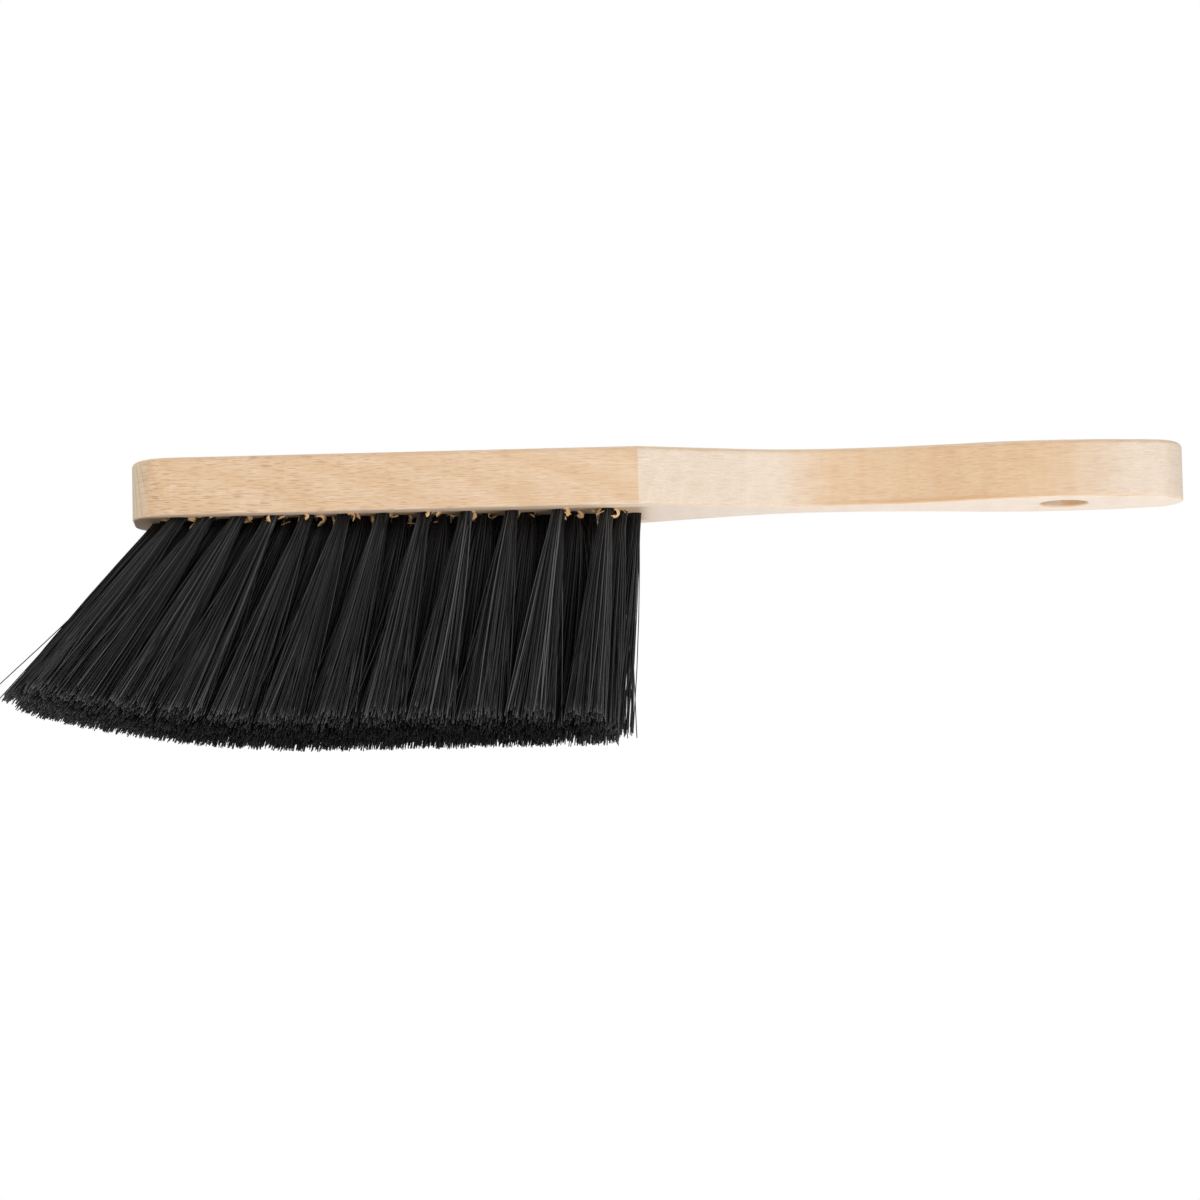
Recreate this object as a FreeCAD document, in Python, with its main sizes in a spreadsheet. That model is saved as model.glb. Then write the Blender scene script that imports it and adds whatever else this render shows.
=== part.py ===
import FreeCAD, Part
import math
import os
import Sketcher

# Hand broom: a sawn and rounded plank of beech with five rows of bristle tufts.
# The frame stands on the floor under the bristle tips, with +X towards the handle's end.

V = FreeCAD.Vector
doc = FreeCAD.newDocument("hand_broom")

# Driving dimensions, in millimetres and degrees. Places along the wood start at its nose.
sizes = {
    # wooden body
    "body_length": 290.0,
    "body_thickness": 16.2,
    "origin_from_nose": 127.7,
    "block_length": 139.5,
    "shoulder_width": 36.2,
    "nose_width": 31.6,
    "nose_corner": 11.0,
    "neck_share": 0.3355,
    "neck_width": 11.8,
    "neck_bend_share": 0.696,
    "belly_share": 0.7674,
    "belly_width": 25.8,
    "belly_bend_share": 0.255,
    "top_edge_round": 1.6,
    "bottom_edge_round": 0.6,
    "hanging_hole_from_end": 33.0,
    "hanging_hole_bore": 13.0,
    "hanging_hole_round": 0.8,
    # rows of drilled holes
    "row_gap": 4.8,
    "middle_row_front": 7.6,
    "middle_row_back": 1.1,
    "row_front_step": 2.8,
    "row_back_step": 3.7,
    "tuft_hole_bore": 4.0,
    "tuft_hole_depth": 7.5,
    "drill_point": 1.1,
    # bristle tufts
    "bristle_height": 62.5,
    "tuft_clearance": 0.05,
    "tuft_collar": 4.0,
    "fold_round": 1.0,
    "tip_clearance": 1.3,
    "rear_lean": 7.0,
    "nose_lean": 38.6,
    "side_lean_step": 7.3,
    # cut of the bristle tips
    "trim_flat_place": 85.0,
    "trim_bend": 480.0,
    "trim_sweep": 30.0,
    "crown_flat": 24.0,
    "crown_bend": 55.0,
    "crown_sweep": 60.0,
    # flat wire anchors
    "anchor_bite": 0.4,
    "anchor_gauge": 0.35,
    "anchor_depth": 1.8,
    "fold_depth": 1.2,
    # how far a cutting tool runs past what it cuts
    "overrun": 4.0,
}

# Rows by their place from the middle one. Each row has one tuft less than the row inside it.
ROWS = {"near_outer": -2, "near_inner": -1, "middle": 0, "far_inner": 1, "far_outer": 2}
MIDDLE_TUFTS = 14
ROW_GROWTH_SHARE = 0.28
LEAN_FALL_POWER = 2.5
TUFT_SIDES = 12

# Sizes that follow from the driving ones. The neck and the belly keep their shares of the handle,
# and their bends lie between the least and the most that still join as tangents.
handle = "(body_length - block_length)"
shoulder_step = "(shoulder_width - neck_width)"
belly_step = "(belly_width - neck_width)"
follow_on = {
    "neck_place": f"=block_length + {handle} * neck_share",
    "belly_place": f"=block_length + {handle} * belly_share",
    "neck_most": f"=((neck_place - block_length) ^ 2 + {shoulder_step} ^ 2 / 4) / {shoulder_step}",
    "neck_bend": "=neck_most * neck_bend_share",
    "belly_least": "=((body_length - belly_place) ^ 2 + belly_width ^ 2 / 4) / belly_width",
    "belly_most": f"=((belly_place - neck_place) ^ 2 + {belly_step} ^ 2 / 4) / {belly_step}",
    "belly_bend": "=belly_least + (belly_most - belly_least) * belly_bend_share",
    "hanging_hole_place": "=body_length - hanging_hole_from_end",
}

sheet = doc.addObject("Spreadsheet::Sheet", "Sizes")


def write_cells(cells, first_line):
    """One line of the sheet for each name, with the name as the cell's alias."""
    for line, (name, content) in enumerate(cells.items(), start=first_line):
        sheet.set(f"A{line}", name)
        sheet.set(f"B{line}", str(content))
        sheet.setAlias(f"B{line}", name)
    doc.recompute()
    return first_line + len(cells)


next_line = write_cells(follow_on, write_cells(sizes, 1))


def size(name):
    """Value of one driving dimension."""
    return float(sheet.get(name))


def make_body(name):
    """Empty body with its own origin planes."""
    return doc.addObject("PartDesign::Body", name)


def make_sketch(body, name, plane, offset_expressions):
    """Sketch on one of the body's origin planes, moved by expressions in the plane's own axes."""
    sketch = body.newObject("Sketcher::SketchObject", name)
    support = next(f for f in body.Origin.OriginFeatures if f.Role == plane)
    sketch.AttachmentSupport = [(support, "")]
    sketch.MapMode = "FlatFace"
    for axis, expression in offset_expressions.items():
        sketch.setExpression(f"AttachmentOffset.Base.{axis}", expression)
    return sketch


def drive(sketch, name, expression, *constraint):
    """Named dimension of a sketch, bound to the sheet."""
    index = sketch.addConstraint(Sketcher.Constraint(*constraint))
    sketch.renameConstraint(index, name)
    sketch.setExpression(f"Constraints.{name}", expression)


def circle_sketch(body, name, plane, offsets, radius, radius_expression):
    """Circle round the sketch's own origin."""
    sketch = make_sketch(body, name, plane, offsets)
    sketch.addGeometry(Part.Circle(V(), V(0, 0, 1), radius))
    sketch.addConstraint(Sketcher.Constraint("Coincident", 0, 3, -1, 1))
    drive(sketch, "radius", radius_expression, "Radius", 0, radius)
    return sketch


def closed_lines(sketch, points):
    """Closed run of straight lines through the points; returns the index of the first line."""
    first = sketch.GeometryCount
    count = len(points)
    for index, start in enumerate(points):
        sketch.addGeometry(Part.LineSegment(start, points[(index + 1) % count]))
    for index in range(count):
        follow = first + (index + 1) % count
        sketch.addConstraint(Sketcher.Constraint("Coincident", first + index, 2, follow, 1))
    return first


# Wooden body: half of the plan outline, padded, mirrored and rounded.


def half_outline(sketch):
    """Half of the plank's outline, from the nose round the shoulder, neck and belly to the end."""
    length = size("body_length")
    corner = size("nose_corner")
    shoulder = V(size("block_length"), size("shoulder_width") / 2)
    neck = V(size("neck_place"), size("neck_width") / 2)
    neck_bend = size("neck_bend")
    belly_bend = size("belly_bend")
    belly_half = size("belly_width") / 2
    corner_centre = V(corner, size("nose_width") / 2 - corner)
    neck_centre = V(neck.x, neck.y + neck_bend)
    belly_centre = V(size("belly_place"), belly_half - belly_bend)

    # The block's side leaves the nose corner as a tangent and ends at the shoulder.
    to_shoulder = shoulder - corner_centre
    side_angle = math.atan2(to_shoulder.y, to_shoulder.x) - math.asin(corner / to_shoulder.Length)
    side_start = corner_centre + V(-math.sin(side_angle), math.cos(side_angle)) * corner
    # The neck's side leaves the shoulder straight and ends as a tangent of the neck's bend.
    to_neck = neck_centre - shoulder
    neck_slope = math.atan2(to_neck.y, to_neck.x) - math.asin(neck_bend / to_neck.Length)
    neck_start = neck_centre + V(math.sin(neck_slope), -math.cos(neck_slope)) * neck_bend
    # The hollow behind the neck turns into the belly, and the belly into the round end.
    run = belly_centre.x - neck.x
    fall = belly_bend + neck.y - belly_half
    hollow_bend = (run**2 + fall**2 - belly_bend**2) / (2 * (belly_bend - fall))
    hollow_centre = V(neck.x, neck.y + hollow_bend)
    end_run = length - belly_centre.x
    drop = belly_bend - belly_half
    end_bend = (belly_bend**2 - end_run**2 - drop**2) / (2 * (belly_bend - end_run))
    end_centre = V(length - end_bend, 0)
    turn = (belly_centre - hollow_centre).normalize()
    close = (end_centre - belly_centre).normalize()
    close_angle = math.atan2(close.y, close.x)

    def arc(centre, radius, start, end):
        return Part.ArcOfCircle(Part.Circle(centre, V(0, 0, 1), radius), start, end)

    nose_top = V(0, corner_centre.y)
    down = 3 * math.pi / 2
    sketch.addGeometry(Part.LineSegment(V(length, 0), V()))
    sketch.addGeometry(Part.LineSegment(V(), nose_top))
    sketch.addGeometry(arc(corner_centre, corner, math.pi / 2 + side_angle, math.pi))
    sketch.addGeometry(Part.LineSegment(side_start, shoulder))
    sketch.addGeometry(Part.LineSegment(shoulder, neck_start))
    sketch.addGeometry(arc(neck_centre, neck_bend, down + neck_slope, down))
    sketch.addGeometry(arc(hollow_centre, hollow_bend, down, 2 * math.pi + math.atan2(turn.y, turn.x)))
    sketch.addGeometry(arc(belly_centre, belly_bend, close_angle, math.atan2(-turn.y, -turn.x)))
    sketch.addGeometry(arc(end_centre, end_bend, 0, close_angle))
    axis, nose, nose_arc, side, taper, neck_arc, hollow, belly, end = range(9)

    for tangent in (
        (nose, 2, nose_arc, 2),
        (nose_arc, 1, side, 1),
        (taper, 2, neck_arc, 1),
        (neck_arc, 2, hollow, 1),
        (hollow, 2, belly, 2),
        (belly, 1, end, 2),
    ):
        sketch.addConstraint(Sketcher.Constraint("Tangent", *tangent))
    for joined in ((axis, 2, nose, 1), (side, 2, taper, 1), (end, 1, axis, 1), (axis, 2, -1, 1)):
        sketch.addConstraint(Sketcher.Constraint("Coincident", *joined))
    sketch.addConstraint(Sketcher.Constraint("PointOnObject", axis, 1, -1))
    sketch.addConstraint(Sketcher.Constraint("PointOnObject", end, 3, -1))
    sketch.addConstraint(Sketcher.Constraint("Vertical", nose))
    sketch.addConstraint(Sketcher.Constraint("Vertical", neck_arc, 3, neck_arc, 2))

    drive(sketch, "length", "Sizes.body_length", "DistanceX", -1, 1, axis, 1, length)
    drive(sketch, "corner", "Sizes.nose_corner", "Radius", nose_arc, corner)
    corner_rise = "Sizes.nose_width / 2 - Sizes.nose_corner"
    drive(sketch, "corner_rise", corner_rise, "DistanceY", -1, 1, nose_arc, 3, corner_centre.y)
    drive(sketch, "block", "Sizes.block_length", "DistanceX", -1, 1, side, 2, shoulder.x)
    drive(sketch, "shoulder", "Sizes.shoulder_width / 2", "DistanceY", -1, 1, side, 2, shoulder.y)
    drive(sketch, "neck_place", "Sizes.neck_place", "DistanceX", -1, 1, neck_arc, 2, neck.x)
    drive(sketch, "neck_half", "Sizes.neck_width / 2", "DistanceY", -1, 1, neck_arc, 2, neck.y)
    drive(sketch, "neck_bend", "Sizes.neck_bend", "Radius", neck_arc, neck_bend)
    drive(sketch, "belly_place", "Sizes.belly_place", "DistanceX", -1, 1, belly, 3, belly_centre.x)
    belly_drop = "Sizes.belly_bend - Sizes.belly_width / 2"
    drive(sketch, "belly_drop", belly_drop, "DistanceY", belly, 3, -1, 1, drop)
    drive(sketch, "belly_bend", "Sizes.belly_bend", "Radius", belly, belly_bend)


def level_edges(shape, height):
    """Names of the edges that lie flat at the given height."""
    names = []
    for number, edge in enumerate(shape.Edges, start=1):
        box = edge.BoundBox
        if abs(box.ZMin - height) < FLAT and abs(box.ZMax - height) < FLAT:
            names.append(f"Edge{number}")
    return names


FLAT = 1e-4
UNDERSIDE = size("bristle_height")
TOP = UNDERSIDE + size("body_thickness")
on_underside = {"x": "-Sizes.origin_from_nose", "z": "Sizes.bristle_height"}


def plank():
    """The sawn and rounded plank with its hanging hole, before the holes for the tufts."""
    body = make_body("plank")
    outline = make_sketch(body, "plank_outline", "XY_Plane", on_underside)
    half_outline(outline)
    doc.recompute()

    pad = body.newObject("PartDesign::Pad", "plank_half")
    pad.Profile = outline
    pad.setExpression("Length", "Sizes.body_thickness")
    doc.recompute()

    mirror = body.newObject("PartDesign::Mirrored", "plank_both")
    mirror.Originals = [pad]
    mirror.MirrorPlane = (outline, ["H_Axis"])
    body.Tip = mirror
    doc.recompute()

    base = mirror
    for name, height in (("bottom_edge_round", UNDERSIDE), ("top_edge_round", TOP)):
        rounded = body.newObject("PartDesign::Fillet", f"plank_{name}")
        rounded.Base = (base, level_edges(base.Shape, height))
        rounded.setExpression("Radius", f"Sizes.{name}")
        body.Tip = rounded
        doc.recompute()
        base = rounded

    hole_place = {
        "x": "Sizes.hanging_hole_place - Sizes.origin_from_nose",
        "z": "Sizes.bristle_height",
    }
    bore = size("hanging_hole_bore") / 2
    bore_text = "Sizes.hanging_hole_bore / 2"
    circle = circle_sketch(body, "hanging_circle", "XY_Plane", hole_place, bore, bore_text)
    doc.recompute()
    pocket = body.newObject("PartDesign::Pocket", "hanging_hole")
    pocket.Profile = circle
    pocket.setExpression("Length", "Sizes.body_thickness + Sizes.overrun")
    pocket.Reversed = True
    body.Tip = pocket
    doc.recompute()

    rims = [
        f"Edge{number}"
        for number, edge in enumerate(pocket.Shape.Edges, start=1)
        if edge.Closed and isinstance(edge.Curve, Part.Circle) and abs(edge.Curve.Radius - bore) < FLAT
    ]
    broken = body.newObject("PartDesign::Fillet", "hanging_hole_rims")
    broken.Base = (pocket, rims)
    broken.setExpression("Radius", "Sizes.hanging_hole_round")
    body.Tip = broken
    doc.recompute()
    return body


# One drill, one flat wire anchor and one tuft, each with the mouth of its hole at its own origin
# and the hole running up from there.


def drill():
    """What the drill takes out: a blind hole with a pointed bottom."""
    body = make_body("drill")
    sketch = make_sketch(body, "drill_half", "XZ_Plane", {})
    radius = size("tuft_hole_bore") / 2
    depth = size("tuft_hole_depth")
    point = size("drill_point")
    below = size("overrun")
    first = closed_lines(
        sketch, [V(0, -below), V(radius, -below), V(radius, depth), V(0, depth + point)]
    )
    bottom, wall, cone, axis = range(first, first + 4)
    sketch.addConstraint(Sketcher.Constraint("Horizontal", bottom))
    sketch.addConstraint(Sketcher.Constraint("Vertical", wall))
    sketch.addConstraint(Sketcher.Constraint("Vertical", axis))
    sketch.addConstraint(Sketcher.Constraint("PointOnObject", bottom, 1, -2))
    drive(sketch, "below", "Sizes.overrun", "DistanceY", bottom, 1, -1, 1, below)
    drive(sketch, "radius", "Sizes.tuft_hole_bore / 2", "DistanceX", -1, 1, wall, 1, radius)
    drive(sketch, "depth", "Sizes.tuft_hole_depth", "DistanceY", -1, 1, wall, 2, depth)
    drive(sketch, "point", "Sizes.drill_point", "DistanceY", cone, 1, cone, 2, point)
    doc.recompute()
    turned = body.newObject("PartDesign::Revolution", "drill_turned")
    turned.Profile = sketch
    turned.ReferenceAxis = (sketch, ["V_Axis"])
    turned.Angle = 360
    body.Tip = turned
    doc.recompute()
    return body


def wire_anchor():
    """Short piece of flat wire across the fold of the tuft, with both ends wedged in the wood."""
    plate = doc.addObject("Part::Box", "anchor_plate")
    plate.setExpression("Length", "Sizes.tuft_hole_bore + 2 * Sizes.anchor_bite")
    plate.setExpression("Width", "Sizes.anchor_gauge")
    plate.setExpression("Height", "Sizes.anchor_depth")
    plate.setExpression("Placement.Base.x", "-Sizes.tuft_hole_bore / 2 - Sizes.anchor_bite")
    plate.setExpression("Placement.Base.y", "-Sizes.anchor_gauge / 2")
    below = "Sizes.tuft_hole_depth - Sizes.fold_depth - Sizes.anchor_depth"
    plate.setExpression("Placement.Base.z", below)
    # The compound keeps the plate's place in the hole when copies are set out.
    held = doc.addObject("Part::Compound", "anchor")
    held.Links = [plate]
    doc.recompute()
    return held


def bundle_section(body, name, height, half_text, stretch_text):
    """Many-sided section of a bundle: its half width along X, drawn out along Y by the stretch."""
    sketch = make_sketch(body, name, "XY_Plane", {"z": height})
    step = 2 * math.pi / TUFT_SIDES
    angles = [step * (corner + 0.5) for corner in range(TUFT_SIDES)]
    closed_lines(sketch, [V(math.cos(angle), math.sin(angle)) for angle in angles])
    for corner, angle in enumerate(angles):
        across_share = abs(math.cos(angle))
        along_share = abs(math.sin(angle))
        for kind, share, stretch, value in (
            ("DistanceX", across_share, "0", math.cos(angle)),
            ("DistanceY", along_share, stretch_text, math.sin(angle)),
        ):
            ends = (-1, 1, corner, 1) if value > 0 else (corner, 1, -1, 1)
            text = f"({half_text}) * {share:.9f} + {stretch}"
            drive(sketch, f"corner{corner}{kind}", text, kind, *ends, abs(value))
    return sketch


def tuft_blank(anchor):
    """One bundle of bristle: tight in its hole, fanning out towards its uncut tips."""
    body = make_body("bundle")
    root = "Sizes.tuft_hole_bore / 2 - Sizes.tuft_clearance"
    seat = "Sizes.tuft_hole_depth - Sizes.tuft_clearance"
    # The last section lies as far below the floor as the tufts at the nose need to be cut.
    past = "Sizes.bristle_height / 2"
    grow = f"(Sizes.bristle_height + {past} - Sizes.tuft_collar)"
    grow = f"{grow} / (Sizes.bristle_height - Sizes.tuft_collar)"
    tip = f"{root} + (Sizes.tip_length / 2 - ({root})) * {grow}"
    stretch = f"(Sizes.tip_width - Sizes.tip_length) / 2 * {grow}"
    sections = [
        bundle_section(body, "fold", seat, f"{root} - Sizes.fold_round", "0"),
        bundle_section(body, "root", f"{seat} - Sizes.fold_round", root, "0"),
        bundle_section(body, "collar", "-Sizes.tuft_collar", root, "0"),
        bundle_section(body, "tip", f"-Sizes.bristle_height - {past}", tip, stretch),
    ]
    doc.recompute()

    loft = body.newObject("PartDesign::AdditiveLoft", "bundle_fanned")
    loft.Profile = sections[0]
    loft.Sections = sections[1:]
    loft.Ruled = True
    body.Tip = loft
    doc.recompute()

    blank = doc.addObject("Part::Cut", "tuft_blank")
    blank.Base = body
    blank.Tool = anchor
    doc.recompute()
    return blank


def trim_room():
    """The room above the cut of the tips: flat under the block, bending up towards the nose."""
    body = make_body("trim_room")
    place = {
        "y": "Sizes.trim_bend",
        "z": "Sizes.trim_flat_place - Sizes.origin_from_nose",
    }
    sketch = make_sketch(body, "trim_profile", "YZ_Plane", place)
    bend = size("crown_bend")
    flat = size("crown_flat") / 2
    sweep = math.radians(size("crown_sweep"))
    floor = -size("trim_bend")
    ceiling = floor + size("bristle_height") + size("body_thickness")
    side = flat + bend * math.sin(sweep)
    shoulder = floor + bend * (1 - math.cos(sweep))
    down = 3 * math.pi / 2

    def crown(centre_x, start, end):
        centre = V(centre_x, floor + bend)
        return Part.ArcOfCircle(Part.Circle(centre, V(0, 0, 1), bend), start, end)

    sketch.addGeometry(Part.LineSegment(V(-flat, floor), V(flat, floor)))
    sketch.addGeometry(crown(flat, down, down + sweep))
    sketch.addGeometry(Part.LineSegment(V(side, shoulder), V(side, ceiling)))
    sketch.addGeometry(Part.LineSegment(V(side, ceiling), V(-side, ceiling)))
    sketch.addGeometry(Part.LineSegment(V(-side, ceiling), V(-side, shoulder)))
    sketch.addGeometry(crown(-flat, down - sweep, down))
    bottom, right_crown, right, top, left, left_crown = range(6)
    sketch.addConstraint(Sketcher.Constraint("Tangent", bottom, 2, right_crown, 1))
    sketch.addConstraint(Sketcher.Constraint("Tangent", left_crown, 2, bottom, 1))
    for joined in (
        (right_crown, 2, right, 1),
        (right, 2, top, 1),
        (top, 2, left, 1),
        (left, 2, left_crown, 1),
    ):
        sketch.addConstraint(Sketcher.Constraint("Coincident", *joined))
    sketch.addConstraint(Sketcher.Constraint("Vertical", right))
    sketch.addConstraint(Sketcher.Constraint("Vertical", left))
    sketch.addConstraint(Sketcher.Constraint("Equal", right_crown, left_crown))
    sketch.addConstraint(Sketcher.Constraint("Symmetric", bottom, 1, bottom, 2, -2))
    sketch.addConstraint(Sketcher.Constraint("Symmetric", top, 1, top, 2, -2))
    drive(sketch, "flat", "Sizes.crown_flat", "DistanceX", bottom, 1, bottom, 2, 2 * flat)
    drive(sketch, "bend", "Sizes.crown_bend", "Radius", right_crown, bend)
    drive(sketch, "depth", "Sizes.trim_bend", "DistanceY", bottom, 1, -1, 1, -floor)
    room = "Sizes.bristle_height + Sizes.body_thickness"
    drive(sketch, "room", room, "DistanceY", bottom, 1, right, 2, ceiling - floor)
    reach = "Sizes.crown_bend * sin(Sizes.crown_sweep * 1 deg)"
    drive(sketch, "reach", reach, "DistanceX", bottom, 2, right, 1, side - flat)
    doc.recompute()

    straight = body.newObject("PartDesign::Pad", "trim_straight")
    straight.Profile = sketch
    straight.setExpression("Length", "Sizes.body_length")
    body.Tip = straight
    doc.recompute()
    turned = body.newObject("PartDesign::Revolution", "trim_turned")
    turned.Profile = sketch
    turned.ReferenceAxis = (sketch, ["H_Axis"])
    turned.setExpression("Angle", "Sizes.trim_sweep")
    body.Tip = turned
    doc.recompute()
    return body


# Rows of tufts.


def hole_places():
    """Name and placement of every hole: close together at the nose and leaning out all round."""
    first = size("middle_row_front")
    last = size("block_length") - size("middle_row_back")
    places = {}
    for row, side in ROWS.items():
        from_middle = abs(side)
        count = MIDDLE_TUFTS - from_middle
        start = first + from_middle * size("row_front_step")
        end = last - from_middle * size("row_back_step")
        for number in range(count):
            share = number / (count - 1)
            grown = share * (1 - ROW_GROWTH_SHARE) + share**2 * ROW_GROWTH_SHARE
            place = start + (end - start) * grown
            left = ((last - place) / (last - first)) ** LEAN_FALL_POWER
            lean = size("rear_lean") + (size("nose_lean") - size("rear_lean")) * left
            forward = math.radians(lean)
            aside = math.tan(math.radians(side * size("side_lean_step"))) / math.cos(forward)
            up = V(math.tan(forward), -aside, 1).normalize()
            turn = FreeCAD.Rotation(V(1, 0, 0), V(0, 1, 0), up, "ZXY")
            mouth = V(place - size("origin_from_nose"), side * size("row_gap"), UNDERSIDE)
            places[f"tuft_{row}_{number + 1:02d}"] = FreeCAD.Placement(mouth, turn)
    return places


def tip_room(places):
    """Length and width that neighbouring tufts leave each other at the height of the floor."""
    feet = {}
    for name, place in places.items():
        up = place.Rotation.multVec(V(0, 0, 1))
        feet[name] = (place.Base - up * (place.Base.z / up.z), up)
    rows = {}
    for name, foot in feet.items():
        rows.setdefault(name[:-3], []).append(foot)
    length_room = min(
        (later[0] - sooner[0]).x * later[1].z for row in rows.values() for sooner, later in zip(row, row[1:])
    )
    sides = sorted(row[-1][0].y for row in rows.values())
    width_room = min(right - left for left, right in zip(sides, sides[1:]))
    return length_room, width_room


def set_out(piece, kind, places):
    """One linked copy of the piece in every hole."""
    copies = {}
    for name, place in places.items():
        copy = doc.addObject("App::Link", f"{kind}_{name}")
        copy.LinkedObject = piece
        copy.LinkTransform = False
        copy.Placement = place
        copies[name] = copy
    return copies


def group(name, copies):
    """Separate solids kept together as one object."""
    compound = doc.addObject("Part::Compound", name)
    compound.Links = list(copies.values())
    doc.recompute()
    return compound


places = hole_places()
length_room, width_room = tip_room(places)
tips = {
    "tip_length": f"={length_room} - tip_clearance",
    "tip_width": f"={width_room} - tip_clearance",
}
write_cells(tips, next_line)
board = plank()
anchor = wire_anchor()
anchors = group("anchors", set_out(anchor, "anchor", places))
holes = group("holes", set_out(drill(), "drill", places))

drilled = doc.addObject("Part::Cut", "drilled")
drilled.Base = board
drilled.Tool = holes
wood = doc.addObject("Part::Cut", "wood")
wood.Base = drilled
wood.Tool = anchors
doc.recompute()

room = trim_room()
blank = tuft_blank(anchor)
tufts = {}
for name, copy in set_out(blank, "blank", places).items():
    tuft = doc.addObject("Part::Common", name)
    tuft.Base = copy
    tuft.Tool = room
    tufts[name] = tuft
doc.recompute()

# The tufts of the middle row, which the other rows hide, are kept together as one group.
middle = {name: tufts.pop(name) for name in places if "middle" in name}
nodes = {
    "wooden_body": wood,
    "wire_anchors": anchors,
    "tufts_middle": group("tufts_middle", middle),
    **tufts,
}
for label, node in nodes.items():
    node.Label = label
doc.recompute()

for item in doc.Objects:
    if "Invalid" in item.State or "Error" in item.State:
        raise RuntimeError(f"{item.Label} could not be built: {item.State}")
os.makedirs("parts", exist_ok=True)
for label, node in nodes.items():
    if node.Shape.isNull() or not node.Shape.isValid():
        raise RuntimeError(f"{label} has no valid shape")
    node.Shape.exportStep(f"parts/{label}.step")
    print(label, len(node.Shape.Solids), "solids", round(node.Shape.Volume, 1), "mm3")
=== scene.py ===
# %% [markdown]
# # A hand broom of beech and black bristle
#
# A hand broom is a sawn plank with tufts of bristle set into drilled holes. The plank, the holes
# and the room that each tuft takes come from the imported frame. This lesson gives the plank its
# beech, grows the bristles out of their holes, and sets up the light and the camera.

import math

import bpy
import numpy as np
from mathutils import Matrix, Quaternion, Vector


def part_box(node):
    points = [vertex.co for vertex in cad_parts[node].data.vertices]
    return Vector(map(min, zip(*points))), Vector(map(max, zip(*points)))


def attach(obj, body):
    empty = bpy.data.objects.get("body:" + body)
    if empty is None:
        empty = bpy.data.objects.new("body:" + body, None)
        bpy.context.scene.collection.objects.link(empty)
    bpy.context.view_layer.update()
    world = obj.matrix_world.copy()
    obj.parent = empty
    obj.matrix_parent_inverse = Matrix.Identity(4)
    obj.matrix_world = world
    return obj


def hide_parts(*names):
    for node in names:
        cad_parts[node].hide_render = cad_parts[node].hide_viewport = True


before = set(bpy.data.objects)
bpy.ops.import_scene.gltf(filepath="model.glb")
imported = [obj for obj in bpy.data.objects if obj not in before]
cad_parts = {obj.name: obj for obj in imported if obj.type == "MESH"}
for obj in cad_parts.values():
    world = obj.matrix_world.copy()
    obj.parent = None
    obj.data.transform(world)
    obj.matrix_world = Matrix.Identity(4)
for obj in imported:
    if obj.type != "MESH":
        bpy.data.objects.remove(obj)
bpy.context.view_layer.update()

MM = 0.001
ROWS = ("near_outer", "near_inner", "middle", "far_inner", "far_outer")
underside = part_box("wooden_body")[0].z
print("nodes:", len(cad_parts), "underside at", round(underside / MM, 2), "mm")

# %% [markdown]
# ## Small helpers for node trees
#
# Geometry Nodes and shaders are both trees of nodes joined by links. These helpers add one node,
# fill its inputs with values or links, and hand back an output, so that a tree reads like a sum.

# %% Node helpers


def pick(sockets, key):
    """The socket with that number, or the first one in use with that name."""
    if isinstance(key, int):
        return sockets[key]
    return next(socket for socket in sockets if socket.name == key and socket.enabled)


def feed(tree, socket, value):
    """Links another node's output into the socket, or sets its value."""
    if isinstance(value, bpy.types.NodeSocket):
        tree.links.new(value, socket)
    else:
        socket.default_value = value


def add(tree, kind, inputs=None, out=0, **settings):
    """One new node; returns the output that is asked for."""
    made = tree.nodes.new(kind)
    for key, value in settings.items():
        setattr(made, key, value)
    for key, value in (inputs or {}).items():
        feed(tree, pick(made.inputs, key), value)
    return pick(made.outputs, out)


def calc(tree, operation, *values):
    """A Math node on numbers."""
    made = tree.nodes.new("ShaderNodeMath")
    made.operation = operation
    for socket, value in zip(made.inputs, values):
        feed(tree, socket, value)
    return made.outputs[0]


def vec(tree, operation, *values):
    """A Vector Math node; the second value of SCALE is its number."""
    made = tree.nodes.new("ShaderNodeVectorMath")
    made.operation = operation
    sockets = [made.inputs[0], made.inputs["Scale"]] if operation == "SCALE" else made.inputs
    for socket, value in zip(sockets, values):
        feed(tree, socket, value)
    return made.outputs["Value" if operation in ("DOT_PRODUCT", "LENGTH") else "Vector"]


def total(tree, *vectors):
    """Sum of several vectors."""
    result = vectors[0]
    for vector in vectors[1:]:
        result = vec(tree, "ADD", result, vector)
    return result


def axes_of(tree, vector):
    """The three numbers of a vector."""
    made = tree.nodes.new("ShaderNodeSeparateXYZ")
    feed(tree, made.inputs[0], vector)
    return made.outputs


def window(tree, value, low, high):
    """Smooth step from 0 at the low value to 1 at the high one."""
    inputs = {"Value": value, "From Min": low, "From Max": high}
    return add(tree, "ShaderNodeMapRange", inputs, interpolation_type="SMOOTHSTEP")


def new_group(name, kind, inputs, outputs):
    """An empty node group with named sockets; returns the tree and its input node's outputs."""
    tree = bpy.data.node_groups.new(name, kind)
    for label, socket_type in inputs.items():
        tree.interface.new_socket(label, in_out="INPUT", socket_type=f"NodeSocket{socket_type}")
    for label, socket_type in outputs.items():
        tree.interface.new_socket(label, in_out="OUTPUT", socket_type=f"NodeSocket{socket_type}")
    return tree, tree.nodes.new("NodeGroupInput").outputs


def close_group(tree, results):
    """Links the results to the group's outputs."""
    end = tree.nodes.new("NodeGroupOutput")
    for label, value in results.items():
        feed(tree, end.inputs[label], value)


# %% [markdown]
# ## Where the tufts sit
#
# Every tuft is a solid of the frame: tight in its hole, then a fan. The middle of what is in the
# hole and the middle of the collar just below it give the tuft's axis, so the bristles follow the
# frame if the drilling changes.

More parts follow.
